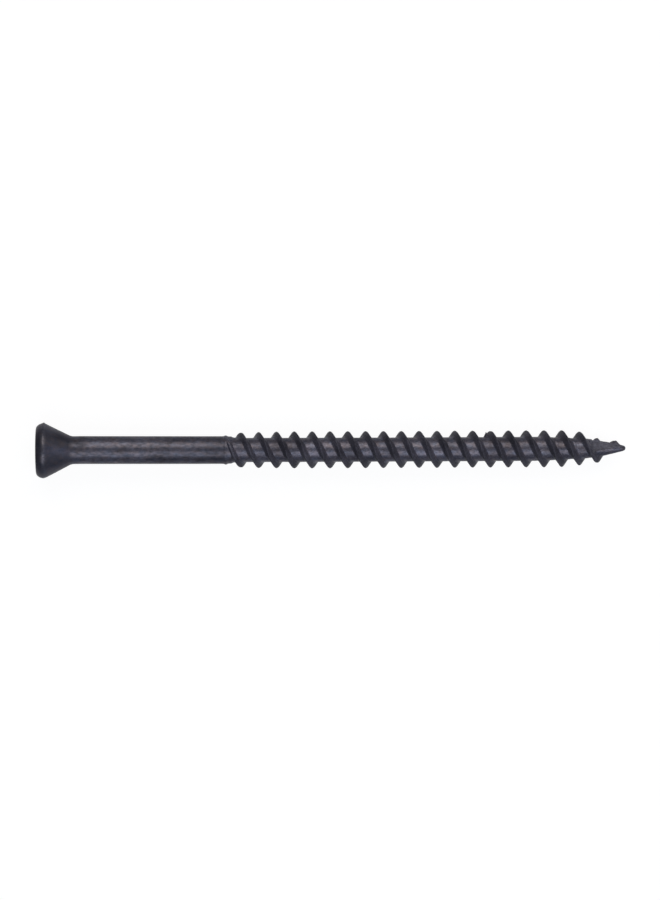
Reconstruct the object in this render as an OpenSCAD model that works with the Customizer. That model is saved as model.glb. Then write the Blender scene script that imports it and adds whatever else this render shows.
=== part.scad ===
// Trim-head wood screw: a small countersunk head with a square socket, a plain
// shank, a coarse thread with two starts, and a sharp point with a flat cut in it.
// The screw lies along +X, with the origin at the centre of the head's flat face.
// Angles round the screw run from +Y towards +Z, so a right-hand thread moves
// towards the point as its angle grows.

/* [Screw] */
// Length from the head's flat face to the tip
screw_len = 57.15; // [50:0.05:76]

/* [Head] */
// Diameter of the head at its rim, where it is widest
head_d = 5.35; // [5.1:0.05:6]
// Diameter of the flat face
face_d = 4.3; // [4.2:0.05:4.8]
// Length of the rounded bevel from the face to the rim
bevel_len = 0.75; // [0.5:0.05:1]
// Height of the lip that stands proud of the cone at the rim
lip_h = 0.06; // [0.02:0.01:0.1]
// Included angle of the cone under the head
cone_angle = 53; // [48:1:60]
// Radius of the fillet between the cone and the shank
fillet_r = 1.2; // [0.4:0.1:1.5]

/* [Socket] */
// Width across the flats of the square socket
socket_w = 2.3; // [2:0.05:2.4]
// Diameter of the circle that rounds the socket's corners
socket_corner_d = 2.95; // [2.9:0.01:3.1]
// Depth of the socket's straight walls
socket_depth = 2; // [1.4:0.1:2.2]
// Depth of the conical floor below the walls
socket_floor = 0.5; // [0.3:0.1:0.6]

/* [Shank] */
// Diameter of the plain shank
shank_d = 2.65; // [2.55:0.01:2.7]
// Distance from the face to the bead that ends the shank
bead_x = 18.4; // [12:0.1:24]
// Diameter of that bead
bead_d = 2.78; // [2.74:0.01:2.85]

/* [Thread] */
// Outer diameter of the thread
thread_d = 3.5; // [3.4:0.05:3.7]
// Diameter of the core between the ridges
root_d = 2.26; // [2.2:0.01:2.35]
// Distance that each of the two ridges moves along the screw in one turn
lead = 3.458; // [3.3:0.001:3.7]
// Width of the ridge's rounded crest
crest_w = 0.1; // [0.06:0.01:0.16]
// Slope of each flank, measured from the plane across the screw
flank_angle = 30; // [25:1:33]

/* [Point] */
// Radius of the blunt end of the point
tip_r = 0.12; // [0.08:0.01:0.15]
// Angle round the screw of the middle of the flat cut
cut_angle = 42; // [30:1:60]
// Length of the flat cut, measured back from the tip
cut_len = 3.2; // [2.8:0.1:3.2]
// Distance of the flat cut from the screw's axis
cut_r = 0.32; // [0.3:0.01:0.5]

/* [Hidden] */
$fn = 96;

// the head: the rim's band, the cone and the fillet that runs into the shank
face_r = face_d / 2;
head_r = head_d / 2;
shank_r = shank_d / 2;
cone_slope = cone_angle / 2;
rim_band = 0.06;
cone_x = bevel_len + rim_band;
cone_r = head_r - lip_h;
cone_end_x = cone_x + (cone_r - shank_r) / tan(cone_slope);
fillet_reach = fillet_r * tan(cone_slope / 2);
head_len = cone_end_x + fillet_reach;
arc_steps = 12;

// the core: its radius along the screw, from the bead to the tip
shank_len = bead_x - 0.5;
root_r = root_d / 2;
bead_r = bead_d / 2;
bead_end_x = bead_x + 1;
core_taper_x = screw_len - 8.3;
point_x = screw_len - 3.7;
cut_x = screw_len - cut_len;
cut_wall = 0.4;
point_r = 0.8 * root_r;
core_line = [
    [shank_len, shank_r],
    [bead_x, bead_r],
    [bead_x + 0.22, shank_r - 0.02],
    [bead_x + 0.45, shank_r - 0.05],
    [bead_end_x, root_r],
    [core_taper_x, root_r],
    [point_x, point_r],
    [screw_len - 2.3, 0.64 * root_r],
    [screw_len - 0.3, 0.22 * root_r],
    [screw_len, tip_r],
];

// the ridges: two equal ones, half a turn apart, so the crests are half a lead apart
thread_r = thread_d / 2;
spacing = lead / 2;
first_crest_x = bead_x + 1.45;
run_in_angle = 140;
ridge_step = 12;
crest_drop = 0.02;
seat_gap = 0.002;
min_height = 0.01;
crest_line = [
    [first_crest_x - lead * run_in_angle / 360, bead_r + 0.05],
    [first_crest_x, thread_r - 0.12],
    [first_crest_x + spacing, thread_r - 0.05],
    [first_crest_x + 3 * spacing, thread_r],
    [screw_len - 6.3, thread_r],
    [screw_len - 4.5, thread_r - 0.18],
    [screw_len - 2.75, thread_r - 0.44],
    [screw_len - 1, 0.8],
];

// crests along the top line (+Y), counted from 0: ridge a has the even ones, ridge b the odd
last_crest = floor((screw_len - 0.9 - first_crest_x) / spacing);
last_crest_a = last_crest - last_crest % 2;
last_crest_b = last_crest - (last_crest + 1) % 2;

function core_r(x) = lookup(x, core_line);

// how far from the axis the flat cut leaves the metal at a place on the screw
function left_by_cut(x, angle) =
    let (facing = cos(angle - cut_angle))
    x > cut_x && facing > 0.1 ? cut_r / facing : thread_r;

// the underside of the ridge lies on the core: its chords just clear the round surface
function seat_r(x) = core_r(x) / cos(ridge_step / 2) + seat_gap;

// a closed outline of [distance along the screw, radius], down to the axis
function closed_to_axis(line) =
    concat([[line[0][0], 0]], line, [[line[len(line) - 1][0], 0]]);

// the points of core_line between two places, with the radius at both ends
function core_between(x0, x1) = concat(
    [[x0, core_r(x0)]],
    [for (p = core_line) if (p[0] > x0 && p[0] < x1) p],
    [[x1, core_r(x1)]]
);

// the angle past a crest on the top line at which the cut has worn the ridge away
function run_out_angle(crest) =
    let (x = first_crest_x + crest * spacing)
    cut_angle - acos(min(1, cut_r / core_r(x)));

// one ring of a ridge: over the thread from left to right, then its underside
function ridge_ring(angle, offset) =
    let (
        x = first_crest_x + lead * angle / 360,
        formed_r = min(lookup(x, crest_line), left_by_cut(x, angle + offset)),
        crest_r = max(formed_r, seat_r(x) + crest_drop + min_height),
        half_crest = crest_w / 2,
        half_w = half_crest + (crest_r - core_r(x)) * tan(flank_angle),
        outline = [
            [x - half_w, seat_r(x - half_w)],
            [x - half_crest, crest_r - crest_drop],
            [x, crest_r],
            [x + half_crest, crest_r - crest_drop],
            [x + half_w, seat_r(x + half_w)],
            [x, seat_r(x)],
        ]
    )
    [for (p = outline) [p[0], p[1] * cos(angle + offset), p[1] * sin(angle + offset)]];

// the triangles between each ring of points and the next, and the two end caps
function tube_faces(rings, sides) =
    let (last = (rings - 1) * sides)
    concat(
        [for (i = [0 : rings - 2], j = [0 : sides - 1])
            let (a = i * sides + j, b = i * sides + (j + 1) % sides)
            each [[a, b, b + sides], [a, b + sides, a + sides]]],
        [[for (j = [sides - 1 : -1 : 0]) j]],
        [[for (j = [0 : sides - 1]) last + j]]
    );

// turns an outline of [distance along the screw, radius] about the screw's axis
module turned(outline) {
    rotate([0, 90, 0])
        rotate_extrude()
            polygon([for (p = outline) [p[1], p[0]]]);
}

module drive_socket() {
    over = 0.5;
    rotate([0, 90, 0]) {
        translate([0, 0, -over])
            linear_extrude(socket_depth + over)
                intersection() {
                    square(socket_w, center = true);
                    circle(d = socket_corner_d);
                }
        translate([0, 0, socket_depth - 0.01])
            cylinder(h = socket_floor, r1 = socket_w / 2 - 0.05, r2 = 0.1);
    }
}

module ridge(offset, crests) {
    end_angle = 180 * crests + run_out_angle(crests);
    steps = ceil((end_angle + run_in_angle) / ridge_step);
    step = (end_angle + run_in_angle) / steps;
    rings = [for (i = [0 : steps]) ridge_ring(i * step - run_in_angle, offset)];
    polyhedron(points = [for (ring = rings) each ring], faces = tube_faces(steps + 1, 6));
}

module head() {
    bevel = [for (i = [0 : arc_steps])
        let (t = 90 * i / arc_steps)
        [bevel_len * (1 - cos(t)), face_r + (head_r - face_r) * sin(t)]];
    fillet = [for (i = [0 : arc_steps])
        let (t = cone_slope * (1 - i / arc_steps))
        [head_len - fillet_r * sin(t), shank_r + fillet_r * (1 - cos(t))]];
    color("#4a4650")
        difference() {
            turned(closed_to_axis(concat(bevel, [[cone_x, cone_r]], fillet)));
            drive_socket();
        }
}

module shank() {
    color("#57525c")
        translate([head_len, 0, 0])
            rotate([0, 90, 0])
                cylinder(h = shank_len - head_len, r = shank_r);
}

module bead() {
    color("#5c5762")
        turned(closed_to_axis(core_between(shank_len, bead_end_x)));
}

module thread_core() {
    color("#6a6672")
        turned(closed_to_axis(core_between(bead_end_x, point_x)));
}

module thread_start_a() {
    color("#45424c")
        ridge(0, last_crest_a);
}

module thread_start_b() {
    color("#4e4b56")
        ridge(180, last_crest_b);
}

module point() {
    // the cut's outline along the screw: a sloping end wall, then the flat to the tip
    past_tip = screw_len + 1;
    cut_outline = [
        [cut_x, cut_r],
        [cut_x - cut_wall, point_r],
        [cut_x - cut_wall, thread_r],
        [past_tip, thread_r],
        [past_tip, cut_r],
    ];
    color("#625e69")
        difference() {
            turned(closed_to_axis(core_between(point_x, screw_len)));
            rotate([cut_angle, 0, 0])
                linear_extrude(thread_d, center = true)
                    polygon(cut_outline);
        }
}

head();
shank();
bead();
thread_core();
thread_start_a();
thread_start_b();
point();
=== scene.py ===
"""The looks of a trim-head wood screw with a satin black phosphate finish.

The screw is one forging, so its skin is a set of closed meshes that meet edge to edge:
head, shank, collar, threaded body and point. The screw's lengths are millimetres and
become metres as each mesh is made; the lamps, floor and backdrop round it are in metres.
The screw lies along +X, and angles round it run from +Y towards +Z.
"""

import math

import bmesh
import bpy
import numpy as np
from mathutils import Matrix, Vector, noise


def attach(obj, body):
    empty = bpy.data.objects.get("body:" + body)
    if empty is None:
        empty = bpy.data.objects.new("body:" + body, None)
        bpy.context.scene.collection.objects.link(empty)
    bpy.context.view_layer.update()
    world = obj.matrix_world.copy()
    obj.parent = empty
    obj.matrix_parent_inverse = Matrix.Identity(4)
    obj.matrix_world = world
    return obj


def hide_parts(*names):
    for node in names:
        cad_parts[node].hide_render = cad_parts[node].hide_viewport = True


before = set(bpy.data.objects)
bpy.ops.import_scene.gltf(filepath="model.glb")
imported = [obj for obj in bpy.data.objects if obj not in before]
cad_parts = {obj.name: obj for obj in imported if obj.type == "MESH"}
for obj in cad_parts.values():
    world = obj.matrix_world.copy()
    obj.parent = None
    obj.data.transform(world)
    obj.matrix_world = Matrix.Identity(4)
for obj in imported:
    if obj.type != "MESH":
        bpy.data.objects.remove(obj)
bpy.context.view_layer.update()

MM = 0.001
TURN = 2 * math.pi


def extent(node):
    """Where a CAD node starts and ends along the screw, and its largest radius."""
    xyz = np.array([v.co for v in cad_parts[node].data.vertices]) / MM
    return xyz[:, 0].min(), xyz[:, 0].max(), np.hypot(xyz[:, 1], xyz[:, 2]).max()


# Places and radii that the frame gives
HEAD_END, HEAD_R = extent("head")[1:]
SHANK_END, SHANK_R = extent("shank")[1:]
COLLAR_END, COLLAR_R = extent("bead")[1:]
THREAD_END, ROOT_R = extent("thread_core")[1:]
CREST_R = extent("thread_start_a")[2]
TIP_X = extent("point")[1]

# Head: face, bevel, lip, cone and fillet, then the rounding and the flash of its rim. The
# bevel's arc would only end a little past the rim, and it is a little flatter towards +Y
FACE_R = 2.15
BEVEL_LEN = 0.75
BEVEL_OVERRUN = 0.1
BEVEL_SLACK = 0.03
RIM_BAND = 0.06
LIP_H = 0.02
CONE_SLOPE = math.radians(26.94)
CONE_END = BEVEL_LEN + RIM_BAND + (HEAD_R - LIP_H - SHANK_R) / math.tan(CONE_SLOPE)
FILLET_R = (HEAD_END - CONE_END) / math.tan(CONE_SLOPE / 2)
RIM_ROUND = 0.12
FLASH_H = 0.06

# Shank: how much smaller its radius is at the thread than at the head
SHANK_TAPER = 0.012

# Square socket, with a cone for its floor that comes down to a small flat
SOCKET_W = 2.3
SOCKET_CORNER_D = 2.95
SOCKET_DEPTH = 2.0
SOCKET_FLOOR = 0.5
FLOOR_FLAT_R = 0.1

# Thread: two ridges, so crests are half a lead apart; one crest has a nick
LEAD = 3.458
SPACING = LEAD / 2
FIRST_CREST_X = COLLAR_END + 0.45
LAST_FULL_X = TIP_X - 6.3
HALF_FLAT = 0.022
FLANK_SLOPE = 1 / math.tan(math.radians(30.8))
ROOT_BLEND = 0.07
NICK_X, NICK_DEPTH = FIRST_CREST_X + 14 * SPACING, 0.05

# Point: the flat cut, the rounded tip and the places where the cut leaves each ridge's end
CUT_ANGLE = math.radians(42)
CUT_X = TIP_X - 3.2
CUT_R = 0.32
CUT_WALL = 0.4
TIP_R = 0.12
TIP_DOME = 0.13
LEAST_R = 0.004
END_A_X, END_B_X = TIP_X - 2.8, TIP_X - 1

# Finish: thickness of the coat on the head and shank, and on the thread
COAT, THREAD_COAT = 0.03, 0.045

# Straightness: the head's offset and the bow of the middle, both towards -Y, and the tip's droop
HEAD_OFF_AXIS, OFFSET_ENDS, OFFSET_LEN = 0.06, HEAD_END + 0.9, 3.2
BOW = 0.08
TIP_DROOP, DROOP_STARTS, DROOP_LEN = 0.02, 38, 12

# Meshes: vertices round the screw, and the ring spacing that keeps crests on vertices
FINE, COARSE = 192, 96
FINE_STEP, COARSE_STEP = LEAD / FINE, LEAD / COARSE


# ---------------------------------------------------------------- shape helpers


def rough(x, angle, radius, scale, octaves=3):
    """Smooth noise from about -1 to 1 over the screw's surface; scale is its grain in mm."""
    shape = np.broadcast(x, angle, radius).shape
    places = (x, radius * np.cos(angle), radius * np.sin(angle))
    spots = np.stack([np.broadcast_to(p, shape).ravel() for p in places], 1) / scale
    values = [noise.fractal(Vector(p), 1.0, 2.0, octaves) for p in spots.tolist()]
    return np.array(values).reshape(shape)


def bump_at(distance, width):
    """A soft bump of height 1 with that half width."""
    return np.exp(-((distance / width) ** 2))


def eased(share):
    """A share held between 0 and 1, with a soft start and end."""
    held = np.clip(share, 0, 1)
    return held * held * (3 - 2 * held)


def angle_from(angle, centre):
    """The signed angle from centre, between minus and plus half a turn."""
    return (angle - centre + math.pi) % TURN - math.pi


def core_radius(x):
    """The blank between the ridges: collar, straight root, taper and tip."""
    line = [
        (SHANK_END, SHANK_R - SHANK_TAPER),
        (SHANK_END + 0.58, SHANK_R - SHANK_TAPER),
        (SHANK_END + 0.7, SHANK_R - 0.04),
        (SHANK_END + 1.02, SHANK_R - 0.045),
        (SHANK_END + 1.2, ROOT_R + 0.06),
        (COLLAR_END + 0.1, ROOT_R),
        (TIP_X - 8.3, ROOT_R - 0.01),
        (THREAD_END, 0.8 * ROOT_R),
        (TIP_X - 2.3, 0.64 * ROOT_R),
        (TIP_X - 0.3, 0.22 * ROOT_R),
        (TIP_X, TIP_R),
    ]
    places, radii = zip(*line)
    softening = 0.03
    steps = np.linspace(-2, 2, 9)
    weights = np.exp(-0.5 * steps**2)
    shifted = [w * np.interp(x + softening * s, places, radii) for s, w in zip(steps, weights)]
    return sum(shifted) / weights.sum()


def crest_radius(x, is_ridge_a):
    """How high the ridge stands where its crest crosses x; ridge a ends before ridge b."""
    start = [
        (SHANK_END, 1.15),
        (FIRST_CREST_X - 1.35, COLLAR_R),
        (FIRST_CREST_X, CREST_R - 0.12),
        (FIRST_CREST_X + SPACING, CREST_R - 0.05),
        (FIRST_CREST_X + 3 * SPACING, CREST_R),
        (LAST_FULL_X, CREST_R),
        (TIP_X - 4.5, CREST_R - 0.15),
    ]
    end_a = [
        (TIP_X - 3.4, CREST_R - 0.4),
        (TIP_X - 2.9, CREST_R - 0.5),
        (TIP_X - 2.55, 1.02),
        (TIP_X - 2.3, 0.3),
    ]
    end_b = [(TIP_X - 2.75, CREST_R - 0.42), (TIP_X - 1, 0.77), (TIP_X - 0.6, 0.4)]
    heights = [np.interp(x, *zip(*start, *end)) for end in (end_a, end_b)]
    return np.where(is_ridge_a, *heights)


def crest_drag(x, angle):
    """How far the point's cut has pushed the ends of the two ridges towards the tip."""
    first = 0.3 * bump_at(x - END_A_X, 0.6) * bump_at(angle_from(angle, -0.5), 0.9)
    second = 0.25 * bump_at(x - END_B_X + 0.1, 0.5) * bump_at(angle_from(angle, -0.3), 0.9)
    return first + second


def crest_half_flat(x):
    """Half the width of the crest: sharp on the full thread, blunt where the ridges start and end."""
    run_in = 0.09 * np.clip((FIRST_CREST_X + 1 - x) / 1.5, 0, 1)
    worn = 0.15 * bump_at(x - END_B_X, 0.5) + 0.07 * bump_at(x - END_A_X, 0.5)
    return HALF_FLAT + run_in + worn


def thread_surface(x, angle):
    """The bare metal's radius on the threaded part, at a place along and an angle round it.

    Each point belongs to the nearest crest, which lies off millimetres away along the screw.
    """
    along = (x - FIRST_CREST_X - LEAD * angle / TURN - crest_drag(x, angle)) / SPACING
    crest = np.round(along)
    off = (along - crest) * SPACING
    crest_x = x - off
    core = core_radius(x) + 0 * angle
    height = crest_radius(crest_x, crest % 2 == 0)
    height = height + 0.012 * rough(crest_x, angle, CREST_R, 2.2, 1)
    nick = bump_at(angle_from(angle, 0), 0.3) * bump_at(crest_x - NICK_X, 0.4)
    height = height - NICK_DEPTH * nick
    flank = height - FLANK_SLOPE * np.maximum(np.abs(off) - crest_half_flat(x), 0)
    burr = (CREST_R - 0.1 - 2.2 * np.abs(off + 0.42)) * nick
    flank = np.maximum(flank, burr)
    lift = np.clip(flank - core, -ROOT_BLEND, ROOT_BLEND)
    blended = core + (lift + ROOT_BLEND) ** 2 / (4 * ROOT_BLEND)
    return np.where(flank - core > ROOT_BLEND, flank, blended)


def lapped(x, angle, radius):
    """Adds the fold lines that rolling leaves beside the last full ridges."""
    along = (x - FIRST_CREST_X - LEAD * angle / TURN) / SPACING
    off = (along - np.round(along)) * SPACING
    last_turns = bump_at(x - (TIP_X - 5.4), 1.6)
    lap = 0.035 * bump_at(off - 0.72, 0.07)
    groove = 0.02 * bump_at(off - 0.56, 0.06)
    return radius + last_turns * (lap - groove) * (0.6 + 0.4 * rough(x, angle, 1.4, 0.9, 1))


def flat_cut(x, angle, radius):
    """Limits the point to the flat that the self-drilling cut leaves in it."""
    wall_h = 1.2
    least_facing = 0.05
    no_limit = 9
    facing = np.cos(angle - CUT_ANGLE)
    chatter = 0.02 * np.cos(9 * (x - CUT_X))
    floor = CUT_R + 0.012 * rough(x, angle, 0.6, 0.25) + chatter
    plane = floor + wall_h * np.clip((CUT_X - x) / CUT_WALL, 0, 1)
    reached = (facing > least_facing) & (x > CUT_X - CUT_WALL)
    limit = np.where(reached, plane / np.maximum(facing, least_facing), no_limit)
    return np.minimum(radius, limit)


def dome(x, radius):
    """Rounds the last stretch down to the axis at the tip."""
    left = np.clip((TIP_X - x) / TIP_DOME, 0, 1)
    return radius * np.sqrt(1 - (1 - left) ** 2)


# ---------------------------------------------------------------- mesh helpers


def around(count):
    """Angles of that many vertices round the screw, from +Y."""
    return np.arange(count) * TURN / count


def lattice(start, end, step):
    """Ring places from start to end, on the grid that puts crests on vertices."""
    first, last = (round((place - FIRST_CREST_X) / step) for place in (start, end))
    return FIRST_CREST_X + step * np.arange(first, last + 1)


def axis_y(x):
    """The real axis: the forged head sits a little low, the middle bows and the tip droops."""
    offset = HEAD_OFF_AXIS * eased((OFFSET_ENDS - x) / OFFSET_LEN)
    bow = BOW * np.sin(math.pi * x / TIP_X)
    droop = TIP_DROOP * np.clip((x - DROOP_STARTS) / DROOP_LEN, 0, 1)
    return -(offset + bow + droop)


def rings_of(x, angle, radius):
    """Points of shape (rings, round, 3) from the bare metal's radii, with the coat added."""
    shape = radius.shape
    coated = radius + np.interp(x, (SHANK_END, COLLAR_END), (COAT, THREAD_COAT))
    y = coated * np.cos(angle) + axis_y(x)
    z = coated * np.sin(angle)
    return np.stack([np.broadcast_to(x, shape), np.broadcast_to(y, shape), z], -1)


def show(thing):
    """Puts an object into the scene."""
    bpy.context.scene.collection.objects.link(thing)


def tube_faces(count, sides):
    """Triangles between each ring and the next, split along the helix, then the two caps."""
    start = np.arange(count - 1)[:, None] * sides
    here = np.arange(sides)
    after = (here + 1) % sides
    a, b, c, d = start + here, start + after, start + sides + after, start + sides + here
    walls = [np.stack([a, b, c], -1).reshape(-1, 3), np.stack([a, c, d], -1).reshape(-1, 3)]
    end_row, start_middle = (count - 1) * sides, count * sides
    start_cap = np.stack([np.full(sides, start_middle), after, here], -1)
    end_cap = np.stack([np.full(sides, start_middle + 1), end_row + here, end_row + after], -1)
    return np.concatenate([*walls, start_cap, end_cap])


def sharpen_ends(mesh, count, sides):
    """Marks the edges round the first and the last ring as sharp."""

    def at_end(edge):
        first, second = (v // sides for v in edge.vertices)
        return first == second and first in (0, count - 1)

    sharp = [at_end(edge) for edge in mesh.edges]
    mesh.attributes.new("sharp_edge", "BOOLEAN", "EDGE").data.foreach_set("value", sharp)


def skin(name, rings, material, *nodes, **marks):
    """One closed piece from rings of points, a flat cap at each end, its finish marks and painted
    highlight.
    """
    count, sides = rings.shape[:2]
    faces = tube_faces(count, sides)
    middles = np.stack([rings[0].mean(0), rings[-1].mean(0)])
    points = np.concatenate([rings.reshape(-1, 3), middles]) * MM
    mesh = bpy.data.meshes.new(name)
    mesh.from_pydata(points.tolist(), [], faces.tolist())
    is_wall = np.arange(len(faces)) < len(faces) - 2 * sides
    mesh.polygons.foreach_set("use_smooth", is_wall)
    for key in ("wear", "torn", "dust"):
        amount = np.broadcast_to(marks.get(key, 0), (count, sides)).ravel()
        values = np.concatenate([amount, [0, 0]]).astype(np.float32)
        mesh.attributes.new(key, "FLOAT", "POINT").data.foreach_set("value", values)
    mesh.materials.append(material)
    mesh.update()
    sharpen_ends(mesh, count, sides)
    piece = bpy.data.objects.new(name, mesh)
    show(piece)
    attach(piece, "root")
    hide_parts(*nodes)


# ---------------------------------------------------------------- materials


class Nodes:
    """Adds shader nodes to one material, in short calls that return a node's output."""

    def __init__(self, name):
        self.material = bpy.data.materials.new(name)
        self.material.use_nodes = True
        self.tree = self.material.node_tree
        self.shader = self.tree.nodes["Principled BSDF"]
        self.place = self.add("ShaderNodeTexCoord").outputs["Object"]

    def add(self, kind, **settings):
        """A new node, with its own settings."""
        node = self.tree.nodes.new(kind)
        for key, value in settings.items():
            setattr(node, key, value)
        return node

    def link(self, source, target):
        """Joins one node's output to another's input."""
        self.tree.links.new(source, target)

    def noise(self, grain, detail=4, roughness=0.55):
        """Noise with a grain of (along, across) millimetres."""
        along, across = (1 / (size * MM) for size in grain)
        mapping = self.add("ShaderNodeMapping")
        mapping.inputs["Scale"].default_value = (along, across, across)
        texture = self.add("ShaderNodeTexNoise")
        texture.inputs["Scale"].default_value = 1
        texture.inputs["Detail"].default_value = detail
        texture.inputs["Roughness"].default_value = roughness
        self.link(self.place, mapping.inputs["Vector"])
        self.link(mapping.outputs["Vector"], texture.inputs["Vector"])
        return texture.outputs["Fac"]

    def blend(self, share, a, b):
        """Number a where share is 0, number b where it is 1."""
        node = self.add("ShaderNodeMix", data_type="FLOAT")
        for socket, value in zip([s for s in node.inputs if s.enabled], (share, a, b)):
            self.link(value, socket)
        return next(s for s in node.outputs if s.enabled)

    def remap(self, value, low, high, to_low, to_high):
        """The value moved from one range to another, and held inside it."""
        node = self.add("ShaderNodeMapRange")
        limits = {"From Min": low, "From Max": high, "To Min": to_low, "To Max": to_high}
        for key, number in limits.items():
            node.inputs[key].default_value = number
        self.link(value, node.inputs["Value"])
        return node.outputs["Result"]

    def combine(self, operation, a, b):
        """A sum, difference or product; b may be a plain number."""
        node = self.add("ShaderNodeMath", operation=operation)
        self.link(a, node.inputs[0])
        if isinstance(b, (int, float)):
            node.inputs[1].default_value = b
        else:
            self.link(b, node.inputs[1])
        return node.outputs[0]

    def ramp(self, value, *stops):
        """Colours at places from 0 to 1 along value."""
        node = self.add("ShaderNodeValToRGB")
        band = node.color_ramp
        while len(band.elements) < len(stops):
            band.elements.new(0.5)
        for element, (place, colour) in zip(band.elements, stops):
            element.position = place
            element.color = (*colour, 1)
        self.link(value, node.inputs["Fac"])
        return node.outputs["Color"]

    def mix(self, share, under, colour):
        """A plain colour laid over what is under it, by share."""
        node = self.add("ShaderNodeMix", data_type="RGBA")
        share_socket, under_socket, colour_socket = [s for s in node.inputs if s.enabled]
        self.link(share, share_socket)
        self.link(under, under_socket)
        colour_socket.default_value = (*colour, 1)
        return next(s for s in node.outputs if s.enabled)

    def attribute(self, name):
        """A finish mark or painted highlight that the meshes carry, from 0 to 1."""
        return self.add("ShaderNodeAttribute", attribute_name=name).outputs["Fac"]

    def bump(self, height, depth, after=None):
        """Fine relief of that depth in millimetres, on top of any before it."""
        node = self.add("ShaderNodeBump")
        node.inputs["Distance"].default_value = depth * MM
        self.link(height, node.inputs["Height"])
        if after:
            self.link(after, node.inputs["Normal"])
        return node.outputs["Normal"]


# Colours of the coat: its three shades, the torn flat, loose phosphate dust, rubbed metal that
# also paints the rim's highlight, and the tint of its reflections
BASE = (0.098, 0.093, 0.114)
BLUE = (0.088, 0.092, 0.12)
WARM = (0.114, 0.099, 0.11)
TORN = (0.1, 0.1, 0.12)
DUST = (0.046, 0.044, 0.056)
# Rubbed metal, lighter than the coat; on the rim it is also a painted highlight
BARE_AND_HIGHLIGHT = (0.28, 0.27, 0.3)
SHEEN = (0.4, 0.4, 0.42)

# Noise mostly lies between these two values, so they stand for its dark and its light spots
DARK, LIGHT = 0.3, 0.7


def coat_colour(n, marks, speck, past_head, past_shank, rub_and_highlight):
    """The coat's three shades, darkened and lightened by its marks, patches and specks, under rubbed
    metal that paints the rim's highlight.
    """
    cloud = n.noise((0.7, 0.4), 3)
    patch = n.noise((3.2, 1.6), 2)
    shades = n.ramp(cloud, (0.32, BLUE), (0.5, BASE), (0.7, WARM))
    torn_share = n.combine("MULTIPLY", n.attribute("torn"), n.remap(marks, DARK, LIGHT, 0.3, 1))
    shades = n.mix(torn_share, shades, TORN)
    shades = n.mix(n.attribute("dust"), shades, DUST)
    contrast = n.remap(past_head, 0, 1, 0.35, 1)
    swing = n.combine("MULTIPLY", n.remap(marks, DARK, LIGHT, -0.34, 0.34), contrast)
    strength = n.combine("ADD", swing, 1)
    factors = (
        n.remap(speck, DARK, LIGHT, 0.93, 1.07),
        n.remap(patch, DARK, LIGHT, 0.65, 1.35),
        n.remap(past_head, 0, 1, 0.64, 0.93),
        n.remap(past_shank, 0, 1, 1, 1.22),
    )
    for factor in factors:
        strength = n.combine("MULTIPLY", strength, factor)
    scaled = n.add("ShaderNodeVectorMath", operation="SCALE")
    n.link(shades, scaled.inputs[0])
    n.link(strength, scaled.inputs["Scale"])
    # Rubbed metal over the coat: wear, and a painted highlight on the head's rim
    return n.mix(rub_and_highlight, scaled.outputs[0], BARE_AND_HIGHLIGHT)


def coat_metallic(n, marks, rub_and_highlight):
    """Partly metal: more where it is rubbed, less where it is torn and little under dust."""
    torn = n.combine("MULTIPLY", n.attribute("torn"), 0.2)
    clean = n.combine("SUBTRACT", n.combine("ADD", rub_and_highlight, 0.6), torn)
    return n.blend(n.attribute("dust"), clean, n.remap(marks, DARK, LIGHT, 0.1, 0.2))


def coat_roughness(n, marks, speck, on_shank):
    """Satin, a little smoother on the drawn shank, duller where it is torn or dusty."""
    satin = n.remap(marks, DARK, LIGHT, 0.42, 0.32)
    satin = n.combine("ADD", satin, n.remap(speck, DARK, LIGHT, -0.05, 0.05))
    satin = n.combine("SUBTRACT", satin, n.combine("MULTIPLY", on_shank, 0.01))
    satin = n.combine("ADD", satin, n.combine("MULTIPLY", n.attribute("torn"), 0.12))
    return n.combine("ADD", satin, n.combine("MULTIPLY", n.attribute("dust"), 0.25))


def black_phosphate():
    """Dark crystalline coat: drawing marks along the shank, mottling on the formed parts."""
    n = Nodes("black_phosphate")
    split = n.add("ShaderNodeSeparateXYZ")
    n.link(n.place, split.inputs[0])
    along = split.outputs["X"]
    past_head = n.remap(along, (HEAD_END - 0.6) * MM, (HEAD_END + 0.1) * MM, 0, 1)
    past_shank = n.remap(along, (SHANK_END + 0.3) * MM, (SHANK_END + 0.6) * MM, 0, 1)
    on_shank = n.combine("SUBTRACT", past_head, past_shank)
    drawn = n.noise((0.42, 0.26), 3, 0.5)
    rolled = n.noise((0.26, 0.17), 4, 0.6)
    marks = n.blend(on_shank, rolled, drawn)
    speck = n.noise((0.07, 0.07), 2, 0.7)
    # Rubbed metal on the head's rim, partly wear and partly a painted highlight
    rub_and_highlight = n.combine("MULTIPLY", n.attribute("wear"), n.remap(marks, 0.3, 0.6, 0.08, 0.3))
    relief = n.bump(speck, 0.004, after=n.bump(marks, 0.008))
    n.link(coat_colour(n, marks, speck, past_head, past_shank, rub_and_highlight), n.shader.inputs["Base Color"])
    n.link(coat_metallic(n, marks, rub_and_highlight), n.shader.inputs["Metallic"])
    n.link(coat_roughness(n, marks, speck, on_shank), n.shader.inputs["Roughness"])
    n.link(relief, n.shader.inputs["Normal"])
    n.shader.inputs["Specular Tint"].default_value = (*SHEEN, 1)
    return n.material


# ---------------------------------------------------------------- the screw


def socket_radius(angle):
    """The rounded square of the socket, in polar form."""
    flat = SOCKET_W / 2 / np.maximum(abs(np.cos(angle)), abs(np.sin(angle)))
    return np.minimum(flat, SOCKET_CORNER_D / 2)


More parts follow.
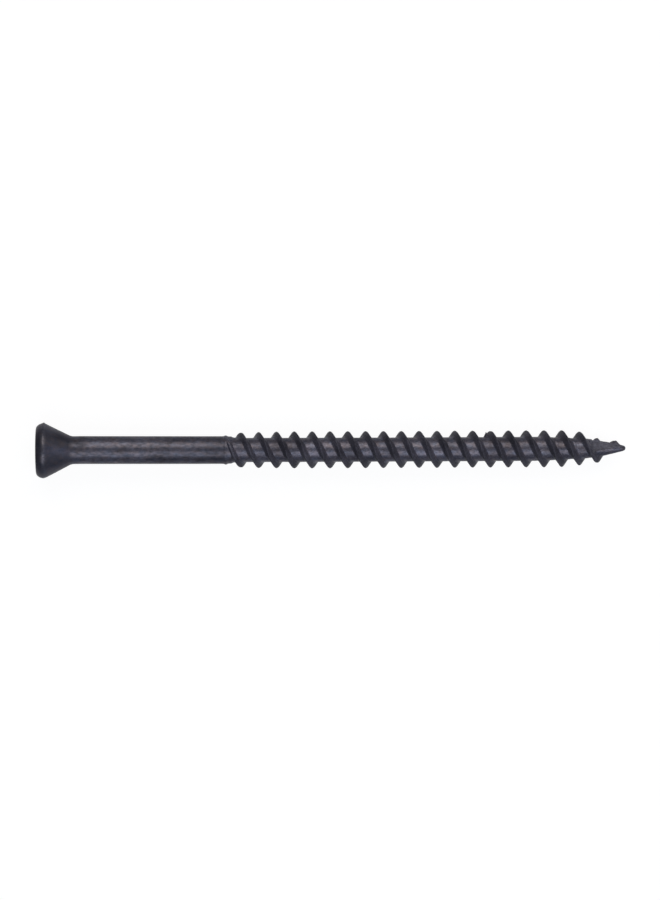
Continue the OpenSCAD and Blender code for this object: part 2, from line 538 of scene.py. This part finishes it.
def head_radius(x, angle):
    """The outside of the head: bevel, rounded rim with a flash on top, cone and fillet."""
    top = (1 + np.cos(angle)) / 2  # 1 at +Y, 0 at -Y
    left = np.clip(1 - x / (BEVEL_LEN + BEVEL_OVERRUN), 0, 1)
    slack = BEVEL_SLACK * top * (2 * left * np.sqrt(1 - left**2) + left**2)
    bevel = FACE_R + (HEAD_R - FACE_R) * np.sqrt(1 - left**2) - slack
    cone = SHANK_R + (CONE_END - x) * math.tan(CONE_SLOPE)
    shared = np.maximum(RIM_ROUND - np.abs(bevel - cone), 0) ** 2 / (4 * RIM_ROUND)
    ragged = 1 + 0.3 * rough(0, angle, HEAD_R, 0.8, 1)
    flash = FLASH_H * top**3 * ragged * bump_at(x - BEVEL_LEN - 0.02, 0.09)
    fillet = SHANK_R + FILLET_R - np.sqrt(FILLET_R**2 - np.clip(HEAD_END - x, 0, FILLET_R) ** 2)
    in_fillet = x > HEAD_END - FILLET_R * math.sin(CONE_SLOPE)
    return np.where(in_fillet, fillet, np.minimum(bevel, cone) - shared + flash)


def socket_and_face(angle):
    """(place along, radius round) stations from the socket's floor out to the face's edge."""
    wall = socket_radius(angle)
    foot = SOCKET_W / 2 - 0.05
    lip = wall + 0.08
    stations = []
    for t in (0, 0.3, 0.6, 0.9):
        cone = FLOOR_FLAT_R + (foot - FLOOR_FLAT_R) * t
        stations.append((SOCKET_DEPTH + SOCKET_FLOOR * (1 - t), cone + 0 * angle))
    stations += [(SOCKET_DEPTH + 0.01, foot + 0 * angle), (SOCKET_DEPTH, wall - 0.02)]
    stations += [(SOCKET_DEPTH - t, wall) for t in (0.04, 0.3, 0.7, 1.1, 1.5, 1.8)]
    stations += [(0.08, wall), (0.03, wall + 0.025), (0.0, lip)]
    stations += [(0.0, lip + (FACE_R - lip) * t) for t in (0.35, 0.7, 0.95)]
    return stations


def head_outside(angle):
    """(place along, radius round) stations from the face's edge out to the shank."""
    bevel = BEVEL_LEN * (1 - np.cos(np.radians(np.linspace(4, 70, 16))))
    rest = np.linspace(bevel[-1] + 0.03, HEAD_END, 104)
    return [(x, head_radius(x, angle)) for x in np.concatenate([bevel, rest])]


def make_head(material):
    """The head, with forging ripples outside and its rim rubbed and given a painted highlight, most
    of all on the +Y side, which faces the upper soft box.
    """
    angle = around(FINE)
    inner = socket_and_face(angle)
    stations = inner + head_outside(angle)
    x = np.array([s[0] for s in stations])[:, None]
    radius = np.array([s[1] for s in stations])
    outside = np.arange(len(stations))[:, None] >= len(inner)
    fade = np.clip((HEAD_END - x) / 0.5, 0, 1)
    radius = radius + np.where(outside, 0.006 * fade * rough(x, angle, radius, 0.8), 0)
    # Wear and a painted highlight along the rim, strongest on the +Y side under the upper soft box
    rim = bump_at(x - BEVEL_LEN - 0.06, 0.18) * outside * (0.75 + 0.5 * np.cos(angle))
    skin("head", rings_of(x, angle, radius), material, "head", wear=rim)


def make_shank(material):
    """The plain shank, with faint ripples drawn out along it."""
    angle = around(FINE)
    start, end = HEAD_END, lattice(SHANK_END, SHANK_END, COARSE_STEP)[0]
    x = np.linspace(start, end, 160)[:, None]
    fade = np.clip(np.minimum(x - start, end - x) / 0.6, 0, 1)
    radius = SHANK_R - SHANK_TAPER * (x - start) / (end - start) + 0 * angle
    radius = radius + fade * 0.004 * rough(x / 4, angle, radius, 0.7)
    skin("shank", rings_of(x, angle, radius), material, "shank")


def flank_dust(x, radius):
    """Where loose phosphate dulls the ridges: nothing at the root, full above it."""
    return eased((radius - core_radius(x) - 0.06) / 0.2)


def make_collar(material):
    """The raised bead where the rolling starts, and the low run-in of both ridges."""
    angle = around(COARSE)
    x = lattice(SHANK_END, COLLAR_END, COARSE_STEP)[:, None]
    edge = bump_at(x - SHANK_END - 0.49, 0.14)
    bead = (0.085 + 0.02 * rough(x, angle, 1.3, 0.5)) * (0.25 + 0.8 * np.cos(angle) ** 2)
    radius = thread_surface(x, angle) + edge * bead
    dust = flank_dust(x - 0.3, radius) * (x > SHANK_END + 0.7)
    skin("collar", rings_of(x, angle, radius), material, "bead", dust=dust)


def make_thread(material):
    """The full thread: the core and both ridges in one skin."""
    angle = around(COARSE)
    x = lattice(COLLAR_END, THREAD_END, COARSE_STEP)[:, None]
    radius = lapped(x, angle, thread_surface(x, angle))
    inner = np.clip(np.minimum(x - x[0], x[-1] - x) / 0.3, 0, 1)
    radius = radius + inner * 0.007 * rough(x, angle, radius, 0.45)
    nodes = ("thread_core", "thread_start_a", "thread_start_b")
    dust = flank_dust(x, radius)
    skin("threaded_body", rings_of(x, angle, radius), material, *nodes, dust=dust)


def make_point(material):
    """The taper with the ends of both ridges, the torn flat cut and the rounded tip."""
    angle = around(FINE)
    x = np.minimum(lattice(THREAD_END, TIP_X, FINE_STEP), TIP_X)[:, None]
    whole = lapped(x, angle, thread_surface(x, angle))
    grown = np.clip((x - x[0]) / 0.3, 0, 1)
    whole = whole + grown * 0.008 * rough(x, angle, whole, 0.3)
    radius = dome(x, flat_cut(x, angle, whole))
    in_cut = (x > CUT_X - CUT_WALL) * (x < TIP_X - TIP_DOME)
    torn = np.clip((whole - radius) / 0.03, 0, 1) * in_cut
    radius = np.maximum(radius, LEAST_R)
    dust = flank_dust(x, radius)
    skin("point", rings_of(x, angle, radius), material, "point", torn=torn, dust=dust)


# ---------------------------------------------------------------- studio


# What the screw mirrors: the light table steeply below it and the dim room round it, then
# where one ends and the other starts, from -1 straight down to 1 straight up
TABLE_GLOW, ROOM = (0.9, 0.92, 0.9), (0.095, 0.11, 0.16)
TABLE_EDGE, ROOM_EDGE = -0.75, -0.25

# Camera over the middle of the screw, rolled a little
CAMERA_AT = (28.5, -0.1, 600)
CAMERA_ROLL = math.radians(-0.2)
CAMERA_LENS, CAMERA_SENSOR = 247.5, 36


def stage_material(name, albedo, glow):
    """Matt white surface that gives off light of its own."""
    material = bpy.data.materials.new(name)
    material.use_nodes = True
    shader = material.node_tree.nodes["Principled BSDF"]
    shader.inputs["Base Color"].default_value = (albedo, albedo, albedo, 1)
    shader.inputs["Roughness"].default_value = 0.9
    shader.inputs["Specular IOR Level"].default_value = 0
    shader.inputs["Emission Color"].default_value = (1, 1, 1, 1)
    shader.inputs["Emission Strength"].default_value = glow
    return material


def make_floor():
    """A light table under the screw, level with the bare metal of its rim and full crests."""
    reach = 2.0
    slope = (HEAD_R - CREST_R) / (LAST_FULL_X - BEVEL_LEN)
    corners = [(-reach, -reach), (reach, -reach), (reach, reach), (-reach, reach)]
    rest_z = -HEAD_R * MM - slope * BEVEL_LEN * MM
    mesh = bpy.data.meshes.new("floor")
    mesh.from_pydata([(x, y, rest_z + slope * x) for x, y in corners], [], [(0, 1, 2, 3)])
    mesh.materials.append(stage_material("light_table", 0.12, 0.925))
    floor = bpy.data.objects.new("floor", mesh)
    floor.visible_glossy = False
    show(floor)


def make_soft_box(name, lean, colour, radiance):
    """A soft box over the screw, leaning from the vertical towards +Y by lean degrees."""
    distance = 0.5
    length, width = 0.65, 0.36
    along = TIP_X / 2 * MM + 0.07
    tilt = math.radians(lean)
    lamp = bpy.data.lights.new(name, "AREA")
    lamp.shape = "RECTANGLE"
    lamp.size, lamp.size_y = length, width
    lamp.color = colour
    lamp.energy = radiance * math.pi * length * width
    light = bpy.data.objects.new(name, lamp)
    light.location = (along, distance * math.sin(tilt), distance * math.cos(tilt))
    light.rotation_euler = (-tilt, 0, 0)
    light.visible_camera = False
    show(light)


def make_side_fill():
    """A soft box beyond the tip that opens up the flanks facing it, without a glint."""
    lamp = bpy.data.lights.new("side_fill", "AREA")
    lamp.size = 0.3
    lamp.energy = 0.3
    lamp.specular_factor = 0
    lamp.color = (0.85, 0.92, 1.2)
    light = bpy.data.objects.new("side_fill", lamp)
    light.location = (0.5, 0, 0.27)
    light.rotation_euler = (0, math.radians(60), 0)
    light.visible_camera = False
    show(light)


def make_backdrop():
    """A pale dome round the studio that only the camera sees."""
    mesh = bpy.data.meshes.new("backdrop")
    shell = bmesh.new()
    bmesh.ops.create_uvsphere(shell, u_segments=48, v_segments=24, radius=2.2)
    shell.to_mesh(mesh)
    shell.free()
    mesh.materials.append(stage_material("pale_wall", 0, 0.97))
    backdrop = bpy.data.objects.new("backdrop", mesh)
    backdrop.visible_glossy = False
    backdrop.visible_diffuse = False
    backdrop.visible_transmission = False
    backdrop.visible_shadow = False
    show(backdrop)


def make_world():
    """Dim surroundings: a cool room above, and the light table's glow below."""
    world = bpy.data.worlds.new("studio")
    world.use_nodes = True
    tree = world.node_tree
    direction = tree.nodes.new("ShaderNodeTexCoord").outputs["Generated"]
    split = tree.nodes.new("ShaderNodeSeparateXYZ")
    height = tree.nodes.new("ShaderNodeMapRange")
    colours = tree.nodes.new("ShaderNodeValToRGB")
    height.inputs["From Min"].default_value = TABLE_EDGE
    height.inputs["From Max"].default_value = ROOM_EDGE
    for element, colour in zip(colours.color_ramp.elements, (TABLE_GLOW, ROOM)):
        element.color = (*colour, 1)
    tree.links.new(direction, split.inputs[0])
    tree.links.new(split.outputs["Z"], height.inputs["Value"])
    tree.links.new(height.outputs["Result"], colours.inputs["Fac"])
    tree.links.new(colours.outputs["Color"], tree.nodes["Background"].inputs["Color"])
    bpy.context.scene.world = world


def make_camera():
    """Looks straight down on the screw, turned a little so the tip sits higher."""
    optics = bpy.data.cameras.new("camera")
    optics.sensor_width = CAMERA_SENSOR
    optics.lens = CAMERA_LENS
    camera = bpy.data.objects.new("camera", optics)
    camera.location = [place * MM for place in CAMERA_AT]
    camera.rotation_euler = (0, 0, CAMERA_ROLL)
    show(camera)
    bpy.context.scene.camera = camera


finish = black_phosphate()
for make_piece in (make_head, make_shank, make_collar, make_thread, make_point):
    make_piece(finish)
make_floor()
make_backdrop()
make_world()
make_soft_box("upper_box", 43.5, (1.0, 0.95, 0.87), 2.1)
make_soft_box("lower_box", -35, (0.95, 0.99, 1.04), 1.75)
make_side_fill()
make_camera()
bpy.context.scene.view_settings.view_transform = "Standard"
